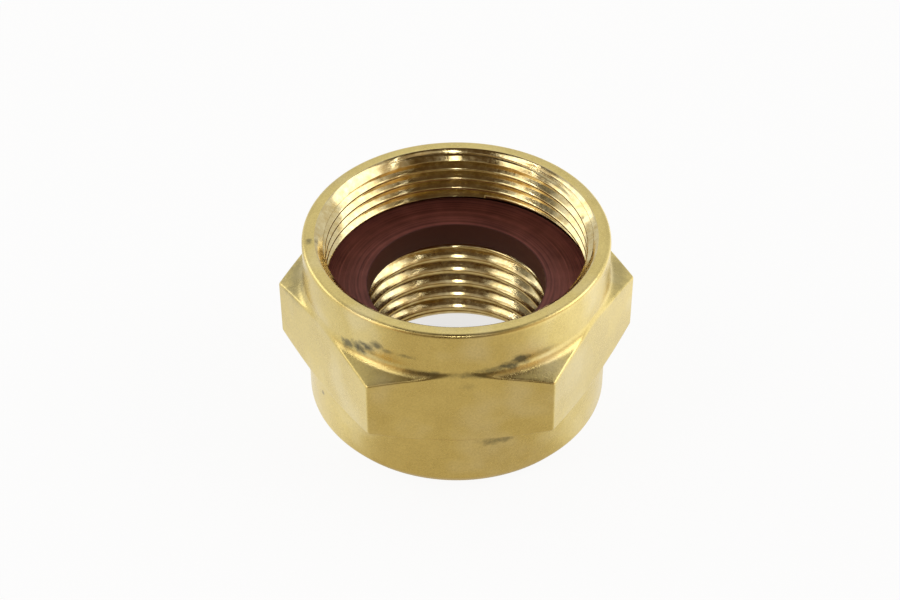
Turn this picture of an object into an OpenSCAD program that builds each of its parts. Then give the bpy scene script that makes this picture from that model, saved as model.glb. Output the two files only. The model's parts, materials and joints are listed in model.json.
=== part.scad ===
/* [Whole nut] */
// Height over both ends
nut_h = 16.2; // [15.5:0.1:20]

/* [Hexagon] */
// Width across the flats of the hexagon
hex_af = 25; // [24:0.5:32]
// Height at which a flat begins, at the middle of the flat
hex_low = 5.4; // [3:0.1:7]
// Height at which a flat ends, at the middle of the flat
hex_high = 12.1; // [10:0.1:13.5]
// Slope of the shoulder above the hexagon, in degrees below level
top_slope = 21.5; // [10:0.5:35]
// Slope of the bevel under the hexagon, in degrees above level
bottom_slope = 24; // [10:0.5:35]

/* [Collar] */
// Outer diameter of the round collar above the hexagon
collar_d = 24.66; // [24:0.02:26]
// Radius of the hollow where the shoulder runs up into the collar
collar_root_r = 0.6; // [0.2:0.1:1]
// Radius that breaks the outer edge of the rim
rim_edge_r = 0.3; // [0.1:0.05:0.5]

/* [Skirt] */
// Outer diameter of the round skirt below the hexagon
skirt_d = 24.6; // [23.6:0.1:26]
// Radius of the hollow where the skirt runs up into the hexagon
skirt_root_r = 0.3; // [0.1:0.1:0.8]
// Width of the bevel round the foot of the skirt
foot_bevel_w = 0.65; // [0.1:0.05:1.2]
// Height of the bevel round the foot of the skirt
foot_bevel_h = 0.9; // [0.1:0.05:1.5]

/* [Upper bore] */
// Bore of the upper thread over its crests
upper_bore_d = 20.92; // [20:0.02:21.5]
// Diameter of the upper mouth, where the lead-in cone meets the rim
upper_mouth_d = 22.4; // [21.6:0.02:23.2]
// Depth of the lead-in cone in the upper mouth
upper_mouth_h = 0.76; // [0.4:0.02:1.4]

/* [Washer groove] */
// Height of the seat on which the washer lies
seat_z = 9.1; // [8:0.1:9.5]
// Diameter of the groove that is turned behind the upper thread
groove_d = 22.1; // [21.8:0.1:23]
// Free height of the groove above the washer
groove_spare_h = 0.45; // [0.2:0.05:1]

/* [Lower bore] */
// Bore of the lower thread over its crests
lower_bore_d = 14.9; // [13.5:0.1:16]
// Diameter of the lower mouth, at the foot face
lower_mouth_d = 17.4; // [16.2:0.1:19]
// Depth of the lead-in cone in the lower mouth
lower_mouth_h = 1.4; // [0.4:0.05:2]

/* [Sealing washer] */
// Thickness of the washer
washer_t = 2.1; // [1.5:0.1:2.5]
// Diameter of the hole through the washer
washer_hole_d = 14.5; // [14:0.1:17]
// Gap all round between the washer and the groove
washer_gap = 0.1; // [0.05:0.05:0.3]

/* [Hidden] */
$fn = 128;

// A cut runs this far past the face that it opens
overrun = 1;
// A hexagon's corners lie this far out, for each unit from its middle to a flat
corner_factor = 1 / cos(30);

hex_r = hex_af / 2;
hex_corner_r = hex_r * corner_factor;
collar_r = collar_d / 2;
skirt_r = skirt_d / 2;
// The revolved shoulder is wider than the bar, so that the flats cut it
shoulder_r = hex_corner_r + overrun;
hex_middle_z = (hex_low + hex_high) / 2;

upper_bore_r = upper_bore_d / 2;
upper_mouth_r = upper_mouth_d / 2;
lower_bore_r = lower_bore_d / 2;
lower_mouth_r = lower_mouth_d / 2;
groove_r = groove_d / 2;
washer_r = groove_r - washer_gap;
washer_hole_r = washer_hole_d / 2;
washer_top_z = seat_z + washer_t;
groove_top_z = washer_top_z + groove_spare_h;

// Height of the shoulder cone above the hexagon at a radius
function shoulder_z(r) = hex_high - (r - hex_r) * tan(top_slope);

// Height of the bevel cone under the hexagon at a radius
function bevel_z(r) = hex_low + (r - hex_r) * tan(bottom_slope);

// Distance from a corner to where its fillet touches each side
function root_reach(radius, slope) = radius * tan((90 - slope) / 2);

// Fillet in the corner between an upright wall on the left and a face that
// slopes down to the right, with the corner at the origin
module root_fillet(radius, slope) {
    reach = root_reach(radius, slope);
    difference() {
        polygon([
            [0, 0],
            [0, reach],
            [radius, reach],
            [reach * cos(slope), -reach * sin(slope)]
        ]);
        translate([radius, reach]) circle(radius);
    }
}

// Half section of the round core, skirt below and collar above
module core_section() {
    difference() {
        polygon([
            [0, 0],
            [skirt_r - foot_bevel_w, 0],
            [skirt_r, foot_bevel_h],
            [skirt_r, hex_middle_z],
            [collar_r, hex_middle_z],
            [collar_r, nut_h],
            [0, nut_h]
        ]);
        translate([collar_r - rim_edge_r, nut_h - rim_edge_r]) difference() {
            square(rim_edge_r + overrun);
            circle(rim_edge_r);
        }
    }
}

// Half section of the band that the hexagon is cut from, with its two bevels
// and the hollows that lead into the collar and the skirt
module shoulder_section() {
    polygon([
        [0, bevel_z(skirt_r)],
        [skirt_r, bevel_z(skirt_r)],
        [shoulder_r, bevel_z(shoulder_r)],
        [shoulder_r, shoulder_z(shoulder_r)],
        [collar_r, shoulder_z(collar_r)],
        [0, shoulder_z(collar_r)]
    ]);
    translate([collar_r, shoulder_z(collar_r)]) root_fillet(collar_root_r, top_slope);
    translate([skirt_r, bevel_z(skirt_r)]) mirror([0, 1]) root_fillet(skirt_root_r, bottom_slope);
}

// The hexagon bar, trimmed by the revolved shoulder, so that the cones leave
// an arched edge on each flat
module hexagon() {
    intersection() {
        cylinder(h = nut_h, r = hex_corner_r, $fn = 6);
        rotate_extrude() shoulder_section();
    }
}

// Half section of everything bored from the two ends
module bore_section() {
    polygon([
        [0, -overrun],
        [lower_mouth_r, -overrun],
        [lower_mouth_r, 0],
        [lower_bore_r, lower_mouth_h],
        [lower_bore_r, seat_z],
        [groove_r, seat_z],
        [groove_r, groove_top_z],
        [upper_bore_r, groove_top_z],
        [upper_bore_r, nut_h - upper_mouth_h],
        [upper_mouth_r, nut_h],
        [upper_mouth_r, nut_h + overrun],
        [0, nut_h + overrun]
    ]);
}

// Brass nut, turned from hexagon bar in one piece
module nut_body() {
    color("#c3ab63") difference() {
        union() {
            rotate_extrude() core_section();
            hexagon();
        }
        rotate_extrude() bore_section();
    }
}

// Flat rubber washer, held behind the upper thread by the groove
module sealing_washer() {
    color("#4c2320") translate([0, 0, seat_z]) difference() {
        cylinder(h = washer_t, r = washer_r);
        translate([0, 0, -overrun]) cylinder(h = washer_t + 2 * overrun, r = washer_hole_r);
    }
}

nut_body();
sealing_washer();
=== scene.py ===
"""A brass petcock nut with a red-brown sealing washer, dressed for a studio photograph.

The nut is turned from hexagon bar: a round skirt, a hexagon with bevelled ends, a round
collar, a wide fine thread above and a narrower coarse thread below. The washer lies on
a seat between the two threads. All lengths are in metres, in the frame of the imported
model, with the nut standing on the floor at the origin and a flat facing -Y.
"""

import json
import logging
import math
from dataclasses import dataclass
from enum import Enum
from typing import Any, Sequence

import bmesh
import bpy
import numpy as np
from mathutils import Matrix, Vector


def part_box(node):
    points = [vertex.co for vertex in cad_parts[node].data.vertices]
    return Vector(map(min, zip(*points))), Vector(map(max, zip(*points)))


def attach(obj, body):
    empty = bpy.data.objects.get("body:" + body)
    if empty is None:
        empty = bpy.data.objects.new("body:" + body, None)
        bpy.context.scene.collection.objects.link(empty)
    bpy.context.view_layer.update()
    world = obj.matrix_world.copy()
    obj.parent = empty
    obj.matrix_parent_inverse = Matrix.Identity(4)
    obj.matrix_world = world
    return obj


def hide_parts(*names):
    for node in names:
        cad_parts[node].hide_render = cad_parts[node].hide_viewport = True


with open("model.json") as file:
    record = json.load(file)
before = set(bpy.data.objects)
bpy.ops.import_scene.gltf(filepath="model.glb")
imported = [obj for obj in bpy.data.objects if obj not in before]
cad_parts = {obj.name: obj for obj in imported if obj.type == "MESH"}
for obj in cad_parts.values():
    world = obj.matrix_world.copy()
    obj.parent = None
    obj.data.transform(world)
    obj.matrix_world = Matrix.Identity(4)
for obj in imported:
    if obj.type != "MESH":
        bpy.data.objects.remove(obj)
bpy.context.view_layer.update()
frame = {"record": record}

MM = 0.001
FULL_TURN = 2 * math.pi
LOG = logging.getLogger("petcock_nut")


def linear(hex_colour: str) -> tuple[float, float, float, float]:
    """Turn an sRGB hex colour into linear RGBA.

    Args:
        hex_colour: Six hex digits, such as "C8B478".

    Returns:
        The linear red, green and blue, and an alpha of 1.
    """
    parts = [int(hex_colour[i:i + 2], 16) / 255 for i in (0, 2, 4)]
    low_end, scale, offset, power = 0.04045, 12.92, 0.055, 2.4
    red, green, blue = (
        part / scale if part <= low_end else ((part + offset) / (1 + offset)) ** power
        for part in parts
    )
    return (red, green, blue, 1.0)


def add_node(tree: bpy.types.NodeTree, kind: str, inputs: dict | None = None, **settings: Any) -> bpy.types.Node:
    """Add a node with its settings, and fill or link its inputs.

    Args:
        tree: The node tree that gets the node.
        kind: The node's type name, without its ShaderNode prefix.
        inputs: Input name or number to a value, or to an output socket to link.
        **settings: Attributes of the node, such as operation or blend_type.

    Returns:
        The new node.
    """
    node = tree.nodes.new("ShaderNode" + kind)
    for name, value in settings.items():
        setattr(node, name, value)
    for key, value in (inputs or {}).items():
        if isinstance(value, bpy.types.NodeSocket):
            tree.links.new(value, node.inputs[key])
        else:
            node.inputs[key].default_value = value
    return node


class End(Enum):
    """An end of the nut, and which way its outline runs from the hexagon."""

    UPPER = 1
    LOWER = -1


# Meshes


def soft_positive(value: np.ndarray, width: float) -> np.ndarray:
    """Return value where it is positive and 0 elsewhere, with a rounded corner.

    Args:
        value: Any numbers.
        width: Half the width of the rounded corner, in the same unit.

    Returns:
        The numbers with their negative part taken away.
    """
    corner = (value + width) ** 2 / (4 * width)
    return np.where(value <= -width, 0.0, np.where(value >= width, value, corner))


def soft_larger(first: np.ndarray, second: np.ndarray, width: float) -> np.ndarray:
    """Return the larger of two surfaces, with the crease between them rounded."""
    return first + soft_positive(second - first, width)


@dataclass
class Thread:
    """A right-hand internal thread, cut into a bore.

    Attributes:
        pitch: Rise of one turn.
        crest_r: Radius of the bore over the crests.
        root_r: Radius at the bottom of the groove.
        crest_flat: Width of a crest along the axis.
        bevel: Width along the axis of the bevel at 45 degrees on a crest's upper side.
        edge: Half width of the rounding on each edge of the outline.
        crest_z: Height of a crest's middle at the back of the bore.
        low_z: Height at which the thread ends below.
        high_z: Height at which the thread ends above.
    """

    pitch: float
    crest_r: float
    root_r: float
    crest_flat: float
    bevel: float
    edge: float
    crest_z: float
    low_z: float
    high_z: float

    # The back of the bore, where crest_z is measured, is a quarter turn from +X
    BACK = math.pi / 2
    # How far a flank runs outwards for each unit along the axis
    FLANK = 1.28

    def corners(self) -> tuple[float, float, float, float, float]:
        """Return the outline's corners over one pitch, as heights over a crest's middle.

        Returns:
            Where the bevel, the upper flank, the groove's bottom, the next crest's lower
            flank and that crest begin.
        """
        full_depth = self.root_r - self.crest_r
        bevel_start = self.crest_flat / 2
        flank_start = bevel_start + self.bevel
        root_start = flank_start + (full_depth - self.bevel) / self.FLANK
        crest_start = self.pitch - self.crest_flat / 2
        return bevel_start, flank_start, root_start, crest_start - full_depth / self.FLANK, crest_start

    def depth(self, offset: np.ndarray) -> np.ndarray:
        """Return how far the surface lies behind the crest.

        Args:
            offset: Distance along the axis from any crest's middle.

        Returns:
            The depth of the groove there.
        """
        above = np.mod(offset, self.pitch)
        bevel_start, flank_start, _, _, crest_start = self.corners()
        opening = soft_positive(above - bevel_start, self.edge)
        opening = opening + soft_positive(above - flank_start, self.edge) * (self.FLANK - 1)
        closing = soft_positive(crest_start - above, self.edge) * self.FLANK
        depth = opening - soft_positive(opening - closing, self.edge)
        return depth - soft_positive(depth - (self.root_r - self.crest_r), self.edge)

    def radius(self, theta: np.ndarray, z: np.ndarray) -> np.ndarray:
        """Return the thread's radius at an angle and a height."""
        rise = self.pitch * (theta - self.BACK) / FULL_TURN
        return self.crest_r + self.depth(z - self.crest_z - rise)

    def steps(self) -> np.ndarray:
        """Return the heights of one turn's mesh lines, counted from a crest's middle."""
        round_each, along_flank, least_step = (-1, -1 / 3, 1 / 3, 1), (0.5,), 0.005 * MM
        bevel_start, flank_start, root_start, root_end, crest_start = self.corners()
        lines = [0.0, (bevel_start + flank_start) / 2]
        lines += [corner + side * self.edge for corner in self.corners() for side in round_each]
        for start, end in ((flank_start, root_start), (root_end, crest_start)):
            lines += [start + share * (end - start) for share in along_flank]
        return np.unique(np.round(np.array(lines) / least_step)) * least_step


@dataclass
class Grid:
    """Points laid out in columns round the axis and rows along the outline.

    Attributes:
        points: Array of columns by rows by 3.
        shift: How many rows the last column is behind the first, where the rows climb.
        slot: Number of the material slot that the faces get.
    """

    points: np.ndarray
    shift: int = 0
    slot: int = 0


def polar_points(theta: np.ndarray, radius: np.ndarray, z: np.ndarray) -> np.ndarray:
    """Turn angles, radii and heights into points.

    Args:
        theta: Angle of each column.
        radius: Columns by rows.
        z: Columns by rows.

    Returns:
        An array of columns by rows by 3.
    """
    angle = np.broadcast_to(theta[:, None], radius.shape)
    return np.stack([radius * np.cos(angle), radius * np.sin(angle), z], axis=-1)


def grid_faces(grid: Grid, start: int) -> list[tuple[int, int, int, int]]:
    """Return a grid's faces, closed round the axis.

    Args:
        grid: The grid.
        start: Number of its first vertex in the whole mesh.

    Returns:
        Four vertex numbers a face.
    """
    columns, rows = grid.points.shape[:2]
    faces = []
    for column in range(columns):
        following = (column + 1) % columns
        shift = grid.shift if following == 0 else 0
        for row in range(rows - 1):
            if 0 <= row + shift and row + 1 + shift < rows:
                here = start + column * rows + row
                there = start + following * rows + row + shift
                faces.append((here, there, there + 1, here + 1))
    return faces


def mesh_piece(name: str, grids: Sequence[Grid], materials: Sequence[bpy.types.Material]) -> bpy.types.Object:
    """Make one closed mesh piece from grids that share their borders.

    Args:
        name: Name of the piece.
        grids: The grids. Points that fall together are joined.
        materials: The piece's material slots.

    Returns:
        The new object, linked to the scene.
    """
    merge_distance = 0.0015 * MM
    points, faces, slots = [], [], []
    start = 0
    for grid in grids:
        new_faces = grid_faces(grid, start)
        points.append(grid.points.reshape(-1, 3))
        faces += new_faces
        slots += [grid.slot] * len(new_faces)
        start += grid.points.shape[0] * grid.points.shape[1]
    mesh = bpy.data.meshes.new(name)
    mesh.from_pydata(np.concatenate(points).tolist(), [], faces)
    for material in materials:
        mesh.materials.append(material)
    mesh.polygons.foreach_set("material_index", slots)
    mesh.polygons.foreach_set("use_smooth", [True] * len(slots))
    work = bmesh.new()
    work.from_mesh(mesh)
    bmesh.ops.remove_doubles(work, verts=work.verts, dist=merge_distance)
    bmesh.ops.dissolve_degenerate(work, edges=work.edges, dist=merge_distance / 10)
    bmesh.ops.recalc_face_normals(work, faces=work.faces)
    open_edges = sum(1 for edge in work.edges if len(edge.link_faces) != 2)
    work.to_mesh(mesh)
    work.free()
    piece = bpy.data.objects.new(name, mesh)
    bpy.context.scene.collection.objects.link(piece)
    LOG.info("%s: %d faces, %d open edges", name, len(mesh.polygons), open_edges)
    return piece


def rounded_outline(corners: Sequence[tuple[float, float, float]], arc_steps: int = 4) -> np.ndarray:
    """Round the inner corners of an open outline with short arcs.

    Args:
        corners: Radius, height and reach of the rounding at each point, ends included.
        arc_steps: Number of pieces in each arc.

    Returns:
        An array of points, radius and height.
    """
    points = [np.array(corners[0][:2])]
    for before, here, after in zip(corners, corners[1:], corners[2:]):
        corner = np.array(here[:2])
        reach = here[2]
        if not reach:
            points.append(corner)
            continue
        back = np.array(before[:2]) - corner
        ahead = np.array(after[:2]) - corner
        first = corner + back / np.linalg.norm(back) * reach
        last = corner + ahead / np.linalg.norm(ahead) * reach
        for step in range(arc_steps + 1):
            t = step / arc_steps
            points.append((1 - t) ** 2 * first + 2 * t * (1 - t) * corner + t ** 2 * last)
    points.append(np.array(corners[-1][:2]))
    return np.array(points)


# Finishes


@dataclass(frozen=True)
class Smudge:
    """A grey mark on the brass.

    Attributes:
        place: Middle of the mark, in millimetres.
        size: Its half width along X, Y and Z, in millimetres.
        strength: How dark it is, from 0 to 1.
    """

    place: tuple[float, float, float]
    size: tuple[float, float, float]
    strength: float


def smudge_mask(
    tree: bpy.types.NodeTree, place: bpy.types.NodeSocket, smudges: Sequence[Smudge],
) -> bpy.types.NodeSocket:
    """Add ragged smudges up into one mask.

    Args:
        tree: The material's tree.
        place: The point on the object.
        smudges: At least one smudge.

    Returns:
        The mask's output.
    """
    # Ragged edges a third of a millimetre deep, drawn out along the turn as a rubbed mark is
    drawn_out = add_node(tree, "VectorMath", {0: place, 1: (1.0, 1.0, 1.4)}, operation="MULTIPLY")
    break_up = add_node(tree, "TexNoise", {
        "Vector": drawn_out.outputs["Vector"], "Scale": 1 / (0.9 * MM), "Detail": 6.0, "Roughness": 0.72,
    })
    marks = []
    for smudge in smudges:
        moved = add_node(tree, "VectorMath", {0: place, 1: tuple(v * MM for v in smudge.place)}, operation="SUBTRACT")
        shrunk = add_node(tree, "VectorMath", {
            0: moved.outputs["Vector"], 1: tuple(v * MM for v in smudge.size),
        }, operation="DIVIDE")
        reach = add_node(tree, "VectorMath", {0: shrunk.outputs["Vector"]}, operation="LENGTH")
        ragged = add_node(tree, "Math", {
            0: break_up.outputs["Fac"], 1: -2.4, 2: reach.outputs["Value"],
        }, operation="MULTIPLY_ADD")
        mark = add_node(tree, "MapRange", {
            "Value": ragged.outputs["Value"], "From Min": -0.1, "From Max": -0.9, "To Max": smudge.strength,
        })
        marks.append(mark.outputs["Result"])
    total = marks[0]
    for mark in marks[1:]:
        total = add_node(tree, "Math", {0: total, 1: mark}, operation="MAXIMUM").outputs["Value"]
    return total


def blend(
    tree: bpy.types.NodeTree, factor: Any, first: Any, second: Any, blend_type: str = "MIX",
) -> bpy.types.NodeSocket:
    """Blend two colours, given as values or outputs, and return the blend's output."""
    inputs = {"Factor": factor, "A": first, "B": second}
    return add_node(tree, "Mix", inputs, data_type="RGBA", blend_type=blend_type).outputs["Result"]


@dataclass(frozen=True)
class TumbledBrass:
    """Free-cutting brass, turned and then tumbled: a satin, slightly mottled gold."""

    name: str = "tumbled_brass"
    tan: str = "DDC77E"
    gold: str = "E8D389"
    pale: str = "EADCB0"
    grime: str = "55564C"
    roughness: float = 0.28
    smudges: tuple[Smudge, ...] = ()

    def build(self) -> bpy.types.Material:
        """Return the material."""
        material = bpy.data.materials.new(self.name)
        material.use_nodes = True
        tree = material.node_tree
        shader = tree.nodes["Principled BSDF"]
        shader.inputs["Metallic"].default_value = 1.0
        place = add_node(tree, "TexCoord").outputs["Object"]
        # Cloudy patches a few millimetres wide, where the tumbling rubbed more or less
        clouds = add_node(tree, "TexNoise", {
            "Vector": place, "Scale": 1 / (2.6 * MM), "Detail": 5.0, "Roughness": 0.65,
        }).outputs["Fac"]
        # Grain of the tumbling media, a tenth of a millimetre, drawn a little coarse to show
        grain = add_node(tree, "TexNoise", {
            "Vector": place, "Scale": 1 / (0.16 * MM), "Detail": 3.0, "Roughness": 0.7,
        }).outputs["Fac"]
        tint = add_node(tree, "TexNoise", {"Vector": place, "Scale": 1 / (5.0 * MM), "Detail": 2.0})
        patch = add_node(tree, "MapRange", {"Value": clouds, "From Min": 0.36, "From Max": 0.64})
        colour = blend(tree, patch.outputs["Result"], linear(self.tan), linear(self.gold))
        washed = add_node(tree, "MapRange", {
            "Value": tint.outputs["Fac"], "From Min": 0.5, "From Max": 0.68, "To Max": 0.45,
        })
        colour = blend(tree, washed.outputs["Result"], colour, linear(self.pale))
        speck = add_node(tree, "MapRange", {
            "Value": grain, "From Min": 0.3, "From Max": 0.7, "To Min": 0.87, "To Max": 1.07,
        })
        colour = blend(tree, 1.0, colour, speck.outputs["Result"], "MULTIPLY")
        if self.smudges:
            mask = smudge_mask(tree, place, self.smudges)
            colour = blend(tree, mask, colour, linear(self.grime))
        tree.links.new(colour, shader.inputs["Base Color"])
        rough = add_node(tree, "MapRange", {
            "Value": clouds, "From Min": 0.3, "From Max": 0.7,
            "To Min": self.roughness - 0.05, "To Max": self.roughness + 0.07,
        })
        tree.links.new(rough.outputs["Result"], shader.inputs["Roughness"])
        dents = add_node(tree, "TexNoise", {"Vector": place, "Scale": 1 / (0.45 * MM), "Detail": 3.0})
        height = add_node(tree, "Math", {0: grain, 1: dents.outputs["Fac"]}, operation="ADD")
        bump = add_node(tree, "Bump", {"Height": height.outputs["Value"], "Strength": 0.4, "Distance": 0.02 * MM})
        tree.links.new(bump.outputs["Normal"], shader.inputs["Normal"])
        return material


@dataclass(frozen=True)
class TurnedBrass:
    """Brass fresh from the threading tool: brighter and glossier, with fine tool marks."""

    name: str = "turned_brass"
    gold: str = "E8D9A8"
    shade: str = "D0B980"
    grime: str = "4A4434"
    roughness: float = 0.13
    dulling: float = 0.03
    dull_below_z: float = 9.1 * MM
    smudges: tuple[Smudge, ...] = ()

    def build(self) -> bpy.types.Material:
        """Return the material."""
        material = bpy.data.materials.new(self.name)
        material.use_nodes = True
        tree = material.node_tree
        shader = tree.nodes["Principled BSDF"]
        shader.inputs["Metallic"].default_value = 1.0
        place = add_node(tree, "TexCoord").outputs["Object"]
        clouds = add_node(tree, "TexNoise", {
            "Vector": place, "Scale": 1 / (0.8 * MM), "Detail": 4.0, "Roughness": 0.6,
        })
        patch = add_node(tree, "MapRange", {"Value": clouds.outputs["Fac"], "From Min": 0.35, "From Max": 0.65})
        colour = blend(tree, patch.outputs["Result"], linear(self.shade), linear(self.gold))
        if self.smudges:
            mask = smudge_mask(tree, place, self.smudges)
            colour = blend(tree, mask, colour, linear(self.grime))
        tree.links.new(colour, shader.inputs["Base Color"])
        # Chatter across the thread, a few tenths of a millimetre apart
        along = add_node(tree, "VectorMath", {0: place, 1: (1.0, 1.0, 0.2)}, operation="MULTIPLY")
        chatter = add_node(tree, "TexNoise", {
            "Vector": along.outputs["Vector"], "Scale": 1 / (0.3 * MM), "Detail": 2.0,
        }).outputs["Fac"]
        rough = add_node(tree, "MapRange", {
            "Value": chatter, "From Min": 0.3, "From Max": 0.7,
            "To Min": self.roughness - 0.04, "To Max": self.roughness + 0.06,
        })
        # The tap has rubbed the lower thread duller
        low = add_node(tree, "SeparateXYZ", {"Vector": place}).outputs["Z"]
        low = add_node(tree, "MapRange", {
            "Value": low, "From Min": self.dull_below_z, "From Max": self.dull_below_z + 0.3 * MM,
            "To Min": self.dulling, "To Max": 0.0,
        })
        rough = add_node(tree, "Math", {0: rough.outputs["Result"], 1: low.outputs["Result"]}, operation="ADD")
        tree.links.new(rough.outputs["Value"], shader.inputs["Roughness"])
        # Drag lines along the turn, a twentieth of a millimetre apart
        across = add_node(tree, "VectorMath", {0: place, 1: (0.12, 0.12, 1.0)}, operation="MULTIPLY")
        drag = add_node(tree, "TexNoise", {
            "Vector": across.outputs["Vector"], "Scale": 1 / (0.06 * MM), "Detail": 2.0,
        })
        height = add_node(tree, "Math", {0: drag.outputs["Fac"], 1: 0.25, 2: chatter}, operation="MULTIPLY_ADD")
        bump = add_node(tree, "Bump", {"Height": height.outputs["Value"], "Strength": 0.1, "Distance": 0.01 * MM})
        tree.links.new(bump.outputs["Normal"], shader.inputs["Normal"])
        return material


@dataclass(frozen=True)
class LatheCutRubber:
    """Fluoro rubber, parted from a tube on a lathe: dark red-brown with fine rings."""

    name: str = "fluoro_rubber"
    dark: str = "5C2F28"
    red: str = "8A5046"
    # Colour of the hole's wall, made darker as painted shade
    wall: str = "56302B"
    roughness: float = 0.46
    hole_r: float = 7.25 * MM

    def build(self) -> bpy.types.Material:
        """Return the material."""
        material = bpy.data.materials.new(self.name)
        material.use_nodes = True
        tree = material.node_tree
        shader = tree.nodes["Principled BSDF"]
        shader.inputs["IOR"].default_value = 1.5
        shader.inputs["Specular IOR Level"].default_value = 0.22
        shader.inputs["Roughness"].default_value = self.roughness
        place = add_node(tree, "TexCoord").outputs["Object"]
        split = add_node(tree, "SeparateXYZ", {"Vector": place}).outputs
        flat = add_node(tree, "CombineXYZ", {"X": split["X"], "Y": split["Y"]}).outputs["Vector"]
        reach = add_node(tree, "VectorMath", {0: flat}, operation="LENGTH").outputs["Value"]
        # Rings of the parting tool, two tenths of a millimetre apart, broken up along the turn
        ring_place = add_node(tree, "CombineXYZ", {"X": reach, "Y": split["Z"]})
        wander = add_node(tree, "VectorMath", {0: flat, 1: (0.02, 0.02, 0.02)}, operation="MULTIPLY")
        ring_place = add_node(tree, "VectorMath", {
            0: ring_place.outputs["Vector"], 1: wander.outputs["Vector"],
        }, operation="ADD")
        rings = add_node(tree, "TexNoise", {
            "Vector": ring_place.outputs["Vector"], "Scale": 1 / (0.22 * MM), "Detail": 3.0, "Roughness": 0.7,
        }).outputs["Fac"]
        cloud = add_node(tree, "TexNoise", {"Vector": place, "Scale": 1 / (2.0 * MM), "Detail": 4.0})
        mixed = add_node(tree, "Math", {0: cloud.outputs["Fac"], 1: 0.5, 2: rings}, operation="MULTIPLY_ADD")
        band = add_node(tree, "MapRange", {"Value": mixed.outputs["Value"], "From Min": 0.58, "From Max": 0.92})
        colour = blend(tree, band.outputs["Result"], linear(self.dark), linear(self.red))
        # Painted shade: the hole's wall is given a darker colour than the top face
        hole_edge = 0.05 * MM
        top = add_node(tree, "MapRange", {
            "Value": reach, "From Min": self.hole_r + hole_edge, "From Max": self.hole_r + 2 * hole_edge,
        })
        colour = blend(tree, top.outputs["Result"], linear(self.wall), colour)
        tree.links.new(colour, shader.inputs["Base Color"])
        bump = add_node(tree, "Bump", {"Height": rings, "Strength": 0.6, "Distance": 0.03 * MM})
        tree.links.new(bump.outputs["Normal"], shader.inputs["Normal"])
        return material


@dataclass(frozen=True)
class StudioPaper:
    """White sweep of paper: it shows as white, and keeps a soft shadow of the object."""

    name: str = "studio_paper"
    white: str = "FFFFFF"
    shaded: str = "C6BAA0"
    glow_share: float = 0.92
    bore_glow_share: float = 0.73
    mirrored_share: float = 0.82
    bright_side: float = 1.4
    dim_side: float = 0.88
    bore_r: float = 9 * MM

    def build(self) -> bpy.types.Material:
        """Return the material."""
        material = bpy.data.materials.new(self.name)
        material.use_nodes = True
        tree = material.node_tree
        tree.nodes.remove(tree.nodes["Principled BSDF"])
        out = tree.nodes["Material Output"]
        path = add_node(tree, "LightPath").outputs
        place = add_node(tree, "TexCoord").outputs["Object"]
        away = add_node(tree, "VectorMath", {0: place}, operation="LENGTH").outputs["Value"]
        # The paper seen through the bore keeps more of its shade
        seen = add_node(tree, "MapRange", {
            "Value": away, "From Min": self.bore_r, "From Max": 1.3 * self.bore_r,
            "To Min": self.bore_glow_share, "To Max": self.glow_share,
        })
        mirrored = add_node(tree, "Math", {
            0: path["Is Glossy Ray"], 1: path["Is Transmission Ray"],
        }, operation="MAXIMUM")
        mirrored = add_node(tree, "Math", {0: mirrored.outputs["Value"], 1: self.mirrored_share}, operation="MULTIPLY")
        share = add_node(tree, "Math", {
            0: path["Is Camera Ray"], 1: seen.outputs["Result"], 2: mirrored.outputs["Value"],
        }, operation="MULTIPLY_ADD")
        matt = add_node(tree, "BsdfDiffuse", {"Color": linear(self.white)})
        # The brass mirrors a dimmer, warmer wedge of paper in front of the nut, on the camera's side,
        # and the shade inside the bore
        direction = add_node(tree, "VectorMath", {0: place}, operation="NORMALIZE").outputs["Vector"]
        frontward = add_node(tree, "VectorMath", {0: direction, 1: (0.0, -1.0, 0.0)}, operation="DOT_PRODUCT")
        lit = add_node(tree, "MapRange", {
            "Value": frontward.outputs["Value"], "From Min": 0.88, "From Max": 0.5,
        }, interpolation_type="SMOOTHSTEP")
        beside = add_node(tree, "MapRange", {"Value": away, "From Min": self.bore_r, "From Max": 1.3 * self.bore_r})
        lit = add_node(tree, "Math", {0: lit.outputs["Result"], 1: beside.outputs["Result"]}, operation="MULTIPLY")
        lit = add_node(tree, "Math", {0: lit.outputs["Value"], 1: path["Is Camera Ray"]}, operation="MAXIMUM")
        tone = blend(tree, lit.outputs["Value"], linear(self.shaded), linear(self.white))
        # The paper on the right lies nearer to the large lamp
        side = add_node(tree, "SeparateXYZ", {"Vector": place}).outputs["X"]
        strength = add_node(tree, "MapRange", {
            "Value": side, "From Min": 18 * MM, "From Max": 32 * MM, "To Min": 1.04, "To Max": self.bright_side,
        })
        dim = add_node(tree, "MapRange", {
            "Value": side, "From Min": -16 * MM, "From Max": -26 * MM, "To Min": 1.0, "To Max": self.dim_side,
        })
        strength = add_node(tree, "Math", {
            0: strength.outputs["Result"], 1: dim.outputs["Result"],
        }, operation="MULTIPLY")
        strength = blend(tree, path["Is Camera Ray"], strength.outputs["Value"], linear(self.white))
        glow = add_node(tree, "Emission", {"Color": tone, "Strength": strength})
        mix = add_node(tree, "MixShader", {
            "Fac": share.outputs["Value"], 1: matt.outputs["BSDF"], 2: glow.outputs["Emission"],
        })
        tree.links.new(mix.outputs["Shader"], out.inputs["Surface"])
        return material


# The object


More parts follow.
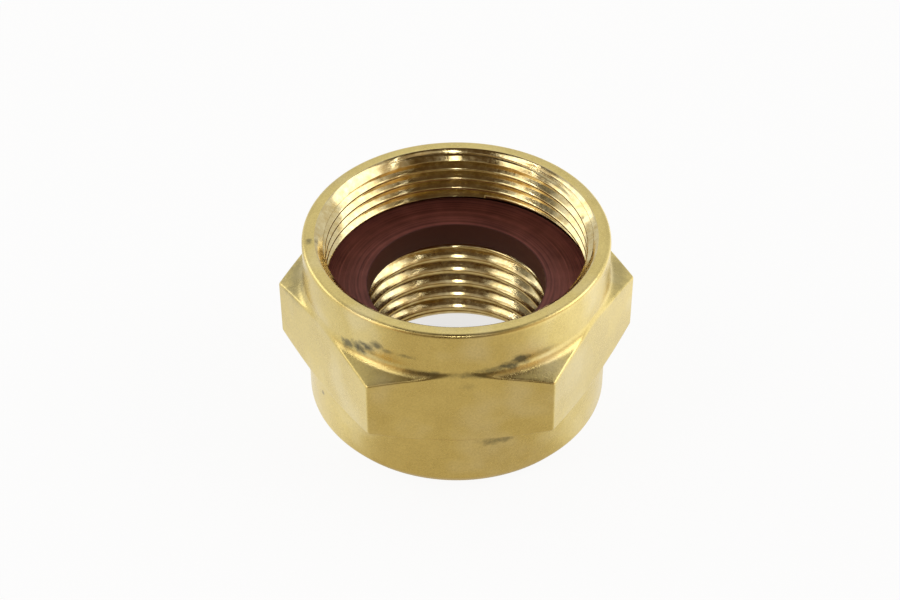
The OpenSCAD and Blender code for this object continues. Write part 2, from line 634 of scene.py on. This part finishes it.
@dataclass
class Nut:
    """The brass nut, one turned piece.

    Attributes:
        height: From the foot face to the rim.
        across_flats: Width of the hexagon.
    """

    height: float
    across_flats: float
    upper_bore_r: float
    lower_bore_r: float
    seat_z: float
    groove_top_z: float
    groove_r: float = 11.05 * MM
    collar_r: float = 12.33 * MM
    skirt_r: float = 12.30 * MM
    hex_low: float = 5.4 * MM
    hex_high: float = 12.03 * MM
    top_slope: float = math.radians(21.5)
    bottom_slope: float = math.radians(24)
    collar_root_r: float = 0.95 * MM
    skirt_root_r: float = 0.3 * MM
    foot_bevel_w: float = 0.65 * MM
    foot_bevel_h: float = 0.9 * MM
    rim_edge_reach: float = 0.45 * MM
    corner_r: float = 0.3 * MM
    edge_reach: float = 0.17 * MM
    upper_mouth_h: float = 0.78 * MM
    lip_h: float = 0.28 * MM
    lip_r: float = 11.31 * MM
    lip_lean: float = 1.02
    lower_mouth_r: float = 8.7 * MM
    lower_mouth_h: float = 1.4 * MM
    seat_bevel_h: float = 0.5 * MM
    runout_z: float = 15.87 * MM
    runout_depth: float = 0.075 * MM
    runout_w: float = 0.05 * MM
    columns: int = 204

    def upper_thread(self) -> Thread:
        """Return the M22 x 1 thread above."""
        return Thread(
            pitch=1.0 * MM, crest_r=self.upper_bore_r, root_r=self.upper_bore_r + 0.56 * MM,
            crest_flat=0.13 * MM, bevel=0.07 * MM, edge=0.03 * MM, crest_z=14.53 * MM,
            low_z=self.groove_top_z, high_z=self.height - self.upper_mouth_h - 0.12 * MM,
        )

    def lower_thread(self) -> Thread:
        """Return the 3/8 inch pipe thread below."""
        return Thread(
            pitch=25.4 / 18 * MM, crest_r=self.lower_bore_r, root_r=self.lower_bore_r + 0.66 * MM,
            crest_flat=0.22 * MM, bevel=0.22 * MM, edge=0.04 * MM, crest_z=7.28 * MM,
            low_z=0.35 * MM, high_z=self.seat_z,
        )

    def angles(self) -> np.ndarray:
        """Return the mesh columns' angles, closer together at the hexagon's corners."""
        even = np.arange(self.columns) * FULL_TURN / self.columns
        near = np.radians([0.12, 0.3, 0.48, 0.62, 0.85, 1.2])
        extra = [corner * math.pi / 3 + side * step for corner in range(6) for side in (-1, 1) for step in near]
        return np.unique(np.round(np.mod(np.concatenate([even, extra]), FULL_TURN), 7))

    def hexagon_r(self, theta: np.ndarray) -> np.ndarray:
        """Return the hexagon's radius at an angle, with its corners rounded."""
        sector = math.pi / 3
        from_corner = np.mod(theta + sector / 2, sector) - sector / 2
        half = self.across_flats / 2
        flat = half / np.cos(sector / 2 - np.abs(from_corner))
        middle = (half - self.corner_r) / math.cos(sector / 2)
        tangent = math.atan2(self.corner_r * math.sin(sector / 2), middle + self.corner_r * math.cos(sector / 2))
        across = middle * np.sin(from_corner)
        arc = middle * np.cos(from_corner) + np.sqrt(np.maximum(self.corner_r ** 2 - across ** 2, 0))
        return np.where(np.abs(from_corner) < tangent, arc, flat)

    def shoulder(self, hexagon_r: float, wall_r: float, edge_z: float, slope: float, root_r: float, end: End) -> np.ndarray:
        """Return the outline from a flat to the round wall beside it.

        Args:
            hexagon_r: Radius of the flat in this column.
            wall_r: Radius of the collar or the skirt.
            edge_z: Height of the cone at the middle of a flat.
            slope: Slope of the cone.
            root_r: Radius of the hollow between the cone and the wall.
            end: The end of the nut that the shoulder faces.

        Returns:
            Points from the flat to the wall.
        """
        arc_steps, cone_steps, edge_steps = 9, 3, 4
        half = self.across_flats / 2
        reach = root_r * math.tan((math.pi / 2 - slope) / 2)
        root_z = (wall_r - half) * -math.tan(slope)
        middle = (wall_r + root_r, root_z + reach)
        arc_end = wall_r + reach * math.cos(slope)
        stop = hexagon_r - self.edge_reach

        def height(radius: float) -> float:
            """Return the curve's height over edge_z at a radius."""
            if radius >= arc_end:
                return -(radius - half) * math.tan(slope)
            return middle[1] - math.sqrt(max(root_r ** 2 - (middle[0] - radius) ** 2, 0.0))

        last_angle = math.acos((middle[0] - min(stop, arc_end)) / root_r)
        points = []
        for step in range(arc_steps + 1):
            angle = last_angle * step / arc_steps
            points.append((middle[0] - root_r * math.cos(angle), middle[1] - root_r * math.sin(angle)))
        arc_r = points[-1][0]
        for step in range(1, cone_steps + 1):
            radius = arc_r + max(stop - arc_end, 0) * step / cone_steps
            points.append((radius, height(radius)))
        first = np.array(points[-1])
        corner = np.array((hexagon_r, height(hexagon_r)))
        last = corner - np.array((0, self.edge_reach))
        for step in range(1, edge_steps + 1):
            t = step / edge_steps
            points.append(tuple((1 - t) ** 2 * first + 2 * t * (1 - t) * corner + t ** 2 * last))
        points.append(tuple(last - np.array((0, self.edge_reach))))
        outline = np.array(points[::-1])
        outline[:, 1] = edge_z + end.value * outline[:, 1]
        return outline

    def outside(self, theta: np.ndarray) -> Grid:
        """Return the outer surface, from the lower mouth round to the upper mouth."""
        lower = self.lower_thread()
        foot = rounded_outline([
            (self.mouth_r(lower.low_z, End.LOWER), lower.low_z, 0),
            (self.lower_mouth_r, 0, 0.06 * MM),
            (self.lower_mouth_r + 0.3 * MM, 0, 0),
            (self.skirt_r - self.foot_bevel_w - 0.3 * MM, 0, 0),
            (self.skirt_r - self.foot_bevel_w, 0, 0.12 * MM),
            (self.skirt_r, self.foot_bevel_h, 0.22 * MM),
            (self.skirt_r, self.foot_bevel_h + 0.5 * MM, 0),
            (self.skirt_r, self.hex_low - 0.6 * MM, 0),
        ])
        rim = rounded_outline([
            (self.collar_r, self.hex_high + 0.9 * MM, 0),
            (self.collar_r, self.height - 0.6 * MM, 0),
            (self.collar_r, self.height, self.rim_edge_reach),
            (self.lip_r, self.height, 0),
        ], arc_steps=8)
        columns = []
        for hexagon_r in self.hexagon_r(theta):
            below = self.shoulder(hexagon_r, self.skirt_r, self.hex_low, self.bottom_slope, self.skirt_root_r, End.LOWER)
            above = self.shoulder(hexagon_r, self.collar_r, self.hex_high, self.top_slope, self.collar_root_r, End.UPPER)
            columns.append(np.concatenate([foot, below[::-1], above, rim]))
        outline = np.array(columns)
        return Grid(polar_points(theta, outline[:, :, 0], outline[:, :, 1]), slot=0)

    def mouth_r(self, z: np.ndarray | float, end: End) -> np.ndarray | float:
        """Return the radius of a mouth's lead-in cone at a height."""
        if end is End.UPPER:
            return self.upper_bore_r + z - (self.height - self.upper_mouth_h)
        return self.lower_mouth_r - z * (self.lower_mouth_r - self.lower_bore_r) / self.lower_mouth_h

    def bore_r(self, theta: np.ndarray, z: np.ndarray, end: End) -> np.ndarray:
        """Return the threaded bore's radius at an angle and a height, opened by its lead-in cones."""
        crease = 0.02 * MM
        thread = self.upper_thread() if end is End.UPPER else self.lower_thread()
        radius = soft_larger(thread.radius(theta, z), self.mouth_r(z, end), crease)
        if end is End.UPPER:
            return radius + self.runout(theta, z)
        seat_bevel_r = self.lower_bore_r + (z - self.seat_z + self.seat_bevel_h) * Thread.FLANK
        return soft_larger(radius, seat_bevel_r, crease)

    def runout(self, theta: np.ndarray, z: np.ndarray) -> np.ndarray:
        """Return the depth of the shallow line where the threading tool ran out through the cone."""
        first_angle, full_angle, last_angle = math.radians(30), math.radians(36), math.radians(118)
        middle_z = self.runout_z + self.upper_thread().pitch * (theta - Thread.BACK) / FULL_TURN
        across = np.exp(-((z - middle_z) / self.runout_w) ** 2)
        fade_in = np.clip((theta - first_angle) / (full_angle - first_angle), 0, 1)
        fade_out = np.clip((last_angle - theta) / math.radians(12), 0, 1)
        return self.runout_depth * across * fade_in * fade_out

    def threaded(self, theta: np.ndarray, end: End) -> Grid:
        """Return a threaded bore, whose mesh lines follow the thread.

        Args:
            theta: The columns' angles.
            end: The end of the nut that the thread is at.

        Returns:
            The grid, whose rows climb one turn round the axis.
        """
        thread = self.upper_thread() if end is End.UPPER else self.lower_thread()
        steps = thread.steps()
        turns = math.ceil((thread.high_z - thread.low_z) / thread.pitch) + 3
        below = math.ceil((thread.crest_z - thread.low_z) / thread.pitch) + 2
        rows = np.concatenate([thread.crest_z + (turn - below) * thread.pitch + steps for turn in range(turns + 1)])
        z = rows[None, :] + thread.pitch * (theta[:, None] - Thread.BACK) / FULL_TURN
        z = np.clip(z, thread.low_z, thread.high_z)
        return Grid(polar_points(theta, self.bore_r(theta[:, None], z, end), z), shift=len(steps), slot=1)

    def mouth(self, theta: np.ndarray) -> Grid:
        """Return the upper mouth: the cone over the first turns and the lip rounded over to the rim."""
        cone_step, lip_steps = 0.022 * MM, 14
        low_z, top_z = self.upper_thread().high_z, self.height - self.lip_h
        heights = np.linspace(low_z, top_z, math.ceil((top_z - low_z) / cone_step) + 1)
        z = np.broadcast_to(heights, (len(theta), len(heights)))
        radius = self.bore_r(theta[:, None], z, End.UPPER)
        top_r = radius[:, -1:]
        t = np.linspace(0, 1, lip_steps + 1)[1:][None, :]
        corner_r = self.mouth_r(top_z, End.UPPER) + self.lip_h * self.lip_lean
        lip_r = (1 - t) ** 2 * top_r + 2 * t * (1 - t) * corner_r + t ** 2 * self.lip_r
        lip_z = (1 - t) ** 2 * top_z + 2 * t * (1 - t) * self.height + t ** 2 * self.height
        z = np.concatenate([z, np.broadcast_to(lip_z, lip_r.shape)], axis=1)
        return Grid(polar_points(theta, np.concatenate([radius, lip_r], axis=1), z), slot=1)

    def groove(self, theta: np.ndarray) -> Grid:
        """Return the washer's groove and its seat, between the two threads."""
        top_r = self.bore_r(theta, np.full_like(theta, self.groove_top_z), End.UPPER)
        seat_r = self.bore_r(theta, np.full_like(theta, self.seat_z), End.LOWER)
        round_in = 0.02 * MM
        outline = (
            (self.groove_r - round_in, self.groove_top_z),
            (self.groove_r, self.groove_top_z - round_in),
            (self.groove_r, self.seat_z + round_in),
            (self.groove_r - round_in, self.seat_z),
        )
        radii = [top_r] + [np.full_like(theta, radius) for radius, _ in outline] + [seat_r]
        heights = [self.groove_top_z] + [z for _, z in outline] + [self.seat_z]
        z = np.broadcast_to(np.array(heights), (len(theta), len(heights)))
        return Grid(polar_points(theta, np.stack(radii, axis=1), z), slot=1)

    def build(self, materials: Sequence[bpy.types.Material]) -> bpy.types.Object:
        """Make the nut's mesh and set it in place of its plain solid."""
        theta = self.angles()
        grids = [
            self.outside(theta),
            self.mouth(theta),
            self.threaded(theta, End.UPPER),
            self.groove(theta),
            self.threaded(theta, End.LOWER),
        ]
        piece = mesh_piece("brass_nut", grids, materials)
        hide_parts("nut_body")
        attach(piece, "root")
        return piece


@dataclass
class Washer:
    """The flat rubber washer on the seat.

    Attributes:
        outer_r: Radius of its rim.
        hole_r: Radius of its hole.
        low_z: Height of its underside.
        high_z: Height of its top face.
    """

    outer_r: float
    hole_r: float
    low_z: float
    high_z: float
    edge: float = 0.06 * MM
    columns: int = 240

    def build(self, materials: Sequence[bpy.types.Material]) -> bpy.types.Object:
        """Make the washer's mesh and set it in place of its plain solid."""
        theta = np.arange(self.columns) * FULL_TURN / self.columns
        middle = (self.outer_r + self.hole_r) / 2
        outline = rounded_outline([
            (middle, self.low_z, 0), (self.outer_r, self.low_z, self.edge), (self.outer_r, self.high_z, self.edge),
            (self.hole_r, self.high_z, self.edge), (self.hole_r, self.low_z, self.edge), (middle, self.low_z, 0),
        ])
        shape = (self.columns, len(outline))
        radius = np.broadcast_to(outline[:, 0], shape)
        z = np.broadcast_to(outline[:, 1], shape)
        piece = mesh_piece("rubber_washer", [Grid(polar_points(theta, radius, z))], materials)
        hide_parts("sealing_washer")
        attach(piece, "root")
        return piece


# The studio


@dataclass(frozen=True)
class SoftBox:
    """A rectangular lamp that looks at the nut.

    Attributes:
        name: Name of the lamp.
        azimuth: Degrees to the right of the camera, as seen from above.
        elevation: Degrees above the floor.
        distance: Distance from the nut.
        size: Width and height of the lamp.
        power: Its power in watts.
    """

    name: str
    azimuth: float
    elevation: float
    distance: float
    size: tuple[float, float]
    power: float

    def build(self, aim: Vector) -> bpy.types.Object:
        """Make the lamp and turn it to a point."""
        light = bpy.data.lights.new(self.name, "AREA")
        light.shape = "RECTANGLE"
        light.size, light.size_y = self.size
        light.energy = self.power
        lamp = bpy.data.objects.new(self.name, light)
        azimuth, elevation = math.radians(self.azimuth), math.radians(self.elevation)
        direction = Vector((
            math.sin(azimuth) * math.cos(elevation), -math.cos(azimuth) * math.cos(elevation), math.sin(elevation),
        ))
        lamp.location = aim + direction * self.distance
        lamp.rotation_euler = direction.to_track_quat("Z", "Y").to_euler()
        bpy.context.scene.collection.objects.link(lamp)
        return lamp


@dataclass
class Studio:
    """Floor, lamps, world and camera."""

    camera_azimuth: float = -1.1
    camera_elevation: float = 41.01
    camera_distance: float = 162.3 * MM
    camera_roll: float = -0.335
    camera_lens: float = 78.96
    aim_right: float = -0.534 * MM
    aim_up: float = 0.768 * MM
    floor_size: float = 4.0
    lamps: tuple[SoftBox, ...] = (
        SoftBox("left_box", -60, 52, 0.6, (0.18, 0.13), 0.155),
        SoftBox("left_strip", -77, 47, 0.6, (0.010, 0.10), 0.04),
        SoftBox("left_low_box", -63, 28, 0.6, (0.20, 0.26), 0.25),
        SoftBox("left_back_box", -112, 24, 0.6, (0.44, 0.28), 0.45),
        SoftBox("right_strip", 59, 51, 0.6, (0.008, 0.16), 0.03),
        SoftBox("right_box", 95, 33, 0.6, (0.36, 0.38), 0.68),
        SoftBox("front_lamp", 0, 50, 0.6, (0.045, 0.09), 0.165),
        SoftBox("front_fill", 0, 48, 0.6, (0.56, 0.10), 0.065),
    )

    def build_floor(self) -> bpy.types.Object:
        """Make the white floor, wide enough to fill every view."""
        half = self.floor_size / 2
        mesh = bpy.data.meshes.new("floor")
        mesh.from_pydata([(-half, -half, 0), (half, -half, 0), (half, half, 0), (-half, half, 0)], [], [(0, 1, 2, 3)])
        mesh.materials.append(StudioPaper().build())
        floor = bpy.data.objects.new("floor", mesh)
        bpy.context.scene.collection.objects.link(floor)
        return floor

    def build_world(self) -> None:
        """Light the scene softly from the sides and the back, and show white behind the nut."""
        world = bpy.data.worlds.new("studio_world")
        bpy.context.scene.world = world
        world.use_nodes = True
        tree = world.node_tree
        out = tree.nodes["World Output"]
        path = add_node(tree, "LightPath").outputs
        direction = add_node(tree, "TexCoord").outputs["Generated"]
        split = add_node(tree, "SeparateXYZ", {"Vector": direction})
        # The ceiling is dim, and the walls are bright down to the floor
        up = add_node(tree, "VectorMath", {0: direction, 1: (0.0, -0.3, 0.954)}, operation="DOT_PRODUCT")
        ceiling = add_node(tree, "MapRange", {
            "Value": up.outputs["Value"], "From Min": 0.82, "From Max": 0.88, "To Min": 1.0, "To Max": 0.11,
        }, interpolation_type="SMOOTHSTEP")
        # The side of the camera is dimmer than the back, and dimmest low down behind the camera
        front = add_node(tree, "MapRange", {
            "Value": split.outputs["Y"], "From Min": -0.5, "From Max": 0.7, "To Min": 0.34, "To Max": 0.74,
        }, interpolation_type="SMOOTHSTEP")
        side = add_node(tree, "Math", {0: split.outputs["X"]}, operation="ABSOLUTE")
        side = add_node(tree, "MapRange", {
            "Value": side.outputs["Value"], "From Min": 0.45, "From Max": 0.75, "To Max": 0.8,
        }, interpolation_type="SMOOTHSTEP")
        front = add_node(tree, "Math", {0: front.outputs["Result"], 1: side.outputs["Result"]}, operation="MAXIMUM")
        low = add_node(tree, "VectorMath", {0: direction, 1: (0.0, -0.98, 0.2)}, operation="DOT_PRODUCT")
        low = add_node(tree, "MapRange", {
            "Value": low.outputs["Value"], "From Min": 0.8, "From Max": 0.92, "To Min": 1.0, "To Max": 0.4,
        }, interpolation_type="SMOOTHSTEP")
        level = add_node(tree, "Math", {0: ceiling.outputs["Result"], 1: front.outputs["Value"]}, operation="MULTIPLY")
        level = add_node(tree, "Math", {0: level.outputs["Value"], 1: low.outputs["Result"]}, operation="MULTIPLY")
        tone = add_node(tree, "MapRange", {"Value": split.outputs["Y"], "From Min": -0.7, "From Max": 0.2})
        tone = add_node(tree, "Math", {
            0: tone.outputs["Result"], 1: ceiling.outputs["Result"],
        }, operation="MULTIPLY")
        tone = blend(tree, tone.outputs["Value"], linear("FFDDB0"), linear("FFFFFF"))
        # The wall behind is brighter above the part that the rim's back and sides mirror
        high = add_node(tree, "VectorMath", {0: direction, 1: (0.0, 0.6, 0.8)}, operation="DOT_PRODUCT")
        high = add_node(tree, "MapRange", {
            "Value": high.outputs["Value"], "From Min": 0.972, "From Max": 0.981, "To Min": 1.0, "To Max": 1.3,
        })
        level = add_node(tree, "Math", {0: level.outputs["Value"], 1: high.outputs["Result"]}, operation="MULTIPLY")
        # A black flag stands beside the small strip on the left
        flag = add_node(tree, "VectorMath", {0: direction, 1: (-0.725, -0.013, 0.688)}, operation="DOT_PRODUCT")
        flag = add_node(tree, "MapRange", {
            "Value": flag.outputs["Value"], "From Min": 0.984, "From Max": 0.993, "To Min": 1.0, "To Max": 0.25,
        }, interpolation_type="SMOOTHSTEP")
        level = add_node(tree, "Math", {0: level.outputs["Value"], 1: flag.outputs["Result"]}, operation="MULTIPLY")
        room = add_node(tree, "Background", {"Color": tone, "Strength": level.outputs["Value"]})
        # A brown glow over the front, as one turn of the thread mirrors the next
        glow = add_node(tree, "VectorMath", {0: direction, 1: (0.0, -0.454, 0.891)}, operation="DOT_PRODUCT")
        glow = add_node(tree, "MapRange", {
            "Value": glow.outputs["Value"], "From Min": 0.84, "From Max": 0.94, "To Max": 0.05,
        }, interpolation_type="SMOOTHSTEP")
        glow = add_node(tree, "Background", {"Color": linear("FFBE68"), "Strength": glow.outputs["Result"]})
        room = add_node(tree, "AddShader", {0: room.outputs["Background"], 1: glow.outputs["Background"]})
        white = add_node(tree, "Background", {"Color": linear("FFFFFF"), "Strength": 1.0})
        mix = add_node(tree, "MixShader", {"Fac": path["Is Camera Ray"], 1: room.outputs["Shader"], 2: white.outputs["Background"]})
        tree.links.new(mix.outputs["Shader"], out.inputs["Surface"])

    def build_camera(self, height: float) -> bpy.types.Object:
        """Set the camera at the photograph's viewing angle.

        Args:
            height: Height of the nut.

        Returns:
            The camera object.
        """
        tilt = math.radians(self.camera_elevation)
        back = Vector((0, -math.cos(tilt), math.sin(tilt)))
        right = Vector((1, 0, 0))
        up = Vector((0, math.sin(tilt), math.cos(tilt)))
        roll = math.radians(self.camera_roll)
        rolled_right = math.cos(roll) * right + math.sin(roll) * up
        rolled_up = -math.sin(roll) * right + math.cos(roll) * up
        aim = Vector((self.aim_right, 0, height / 2)) + up * self.aim_up
        place = aim + back * self.camera_distance
        turn = Matrix.Rotation(math.radians(self.camera_azimuth), 4, "Z")
        basis = Matrix((rolled_right, rolled_up, back)).transposed().to_4x4()
        data = bpy.data.cameras.new("camera")
        data.sensor_width = 36.0
        data.lens = self.camera_lens
        data.clip_start = 1 * MM
        data.clip_end = 10.0
        camera = bpy.data.objects.new("camera", data)
        camera.matrix_world = turn @ Matrix.Translation(place) @ basis
        bpy.context.scene.collection.objects.link(camera)
        bpy.context.scene.camera = camera
        return camera

    def build(self, height: float) -> None:
        """Build the whole studio round a nut of this height."""
        self.build_camera(height)
        self.build_floor()
        self.build_world()
        for lamp in self.lamps:
            lamp.build(Vector((0, 0, height / 2)))


def mount_r(name: str) -> float:
    """Return a round mount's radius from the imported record, in metres."""
    for mount in frame["record"]["mounts"]:
        if mount["name"] == name:
            return mount["dims"]["r_mm"] * MM
    raise KeyError(name)


def main() -> None:
    """Build the studio and the two pieces."""
    logging.basicConfig(level=logging.INFO, format="%(name)s: %(message)s")
    nut_low, nut_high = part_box("nut_body")
    washer_low, washer_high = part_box("sealing_washer")
    nut = Nut(
        height=nut_high[2], across_flats=nut_high[1] - nut_low[1],
        upper_bore_r=mount_r("upper_thread"), lower_bore_r=mount_r("lower_thread"),
        seat_z=washer_low[2], groove_top_z=washer_high[2] + 0.45 * MM,
    )
    washer = Washer(outer_r=washer_high[0], hole_r=7.25 * MM, low_z=washer_low[2], high_z=washer_high[2])
    Studio().build(nut.height)
    outside = TumbledBrass(smudges=(
        # Black rubbed mark on the collar's left front, and small ones beside it
        Smudge((-8.5, -8.9, 12.55), (0.9, 0.9, 0.5), 0.75),
        Smudge((-7.8, -9.55, 12.85), (0.9, 0.9, 0.55), 0.9),
        Smudge((-7.0, -10.1, 13.25), (0.9, 0.8, 0.55), 0.9),
        Smudge((-6.4, -10.5, 13.85), (0.7, 0.6, 0.45), 0.75),
        Smudge((-5.6, -10.98, 13.6), (0.6, 0.4, 0.25), 0.5),
        Smudge((-4.2, -11.59, 13.64), (1.0, 0.5, 0.22), 0.5),
        # Dirt caught in the hollow over the front flat
        Smudge((-2.6, -12.1, 12.25), (2.8, 0.7, 0.3), 0.55),
        Smudge((0.8, -12.3, 12.25), (2.2, 0.7, 0.3), 0.5),
        Smudge((2.6, -12.05, 12.5), (1.6, 0.7, 0.35), 0.65),
        Smudge((3.8, -11.75, 12.65), (1.3, 0.7, 0.42), 0.85),
        Smudge((4.65, -11.4, 12.95), (1.0, 0.8, 0.6), 0.85),
        Smudge((6.3, -10.7, 12.95), (1.8, 1.5, 0.35), 0.3),
        # Mark under the front flat, and a faint stain on it
        Smudge((3.6, -12.1, 4.8), (2.0, 0.9, 0.5), 0.6),
        Smudge((0.6, -12.5, 11.2), (0.7, 0.5, 0.4), 0.2),
        # Grey film on the two side corners of the shoulder
        Smudge((-13.0, -0.4, 12.0), (1.6, 3.6, 1.0), 0.45),
        Smudge((13.1, -0.3, 12.0), (1.6, 3.4, 1.0), 0.3),
        # Small dots
        Smudge((-11.7, -0.7, 16.2), (0.28, 0.4, 0.3), 0.6),
        Smudge((-11.0, -5.5, 4.2), (0.3, 0.3, 0.3), 0.7),
        Smudge((-7.7, -11.6, 5.65), (0.4, 0.3, 0.3), 0.5),
    ))
    threads = TurnedBrass(smudges=(
        Smudge((-11.05, -0.6, 16.15), (0.25, 0.4, 0.3), 0.7),
        Smudge((-9.6, 4.6, 16.0), (0.3, 0.3, 0.3), 0.7),
        Smudge((-8.6, 6.2, 15.45), (0.25, 0.25, 0.25), 0.8),
        Smudge((-6.0, 8.8, 15.2), (0.3, 0.3, 0.3), 1.0),
        Smudge((5.6, 9.0, 15.9), (0.2, 0.2, 0.2), 0.8),
        Smudge((10.3, 2.5, 15.5), (0.25, 0.25, 0.25), 0.8),
    ))
    brass = [outside.build(), threads.build()]
    piece = nut.build(brass)
    LOG.info("built %s from %s", piece.name, ", ".join(material.name for material in brass))
    rubber = [LatheCutRubber().build()]
    piece = washer.build(rubber)
    LOG.info("built %s from %s", piece.name, rubber[0].name)
    bpy.context.scene.view_settings.view_transform = "Standard"


if __name__ == "__main__":
    main()
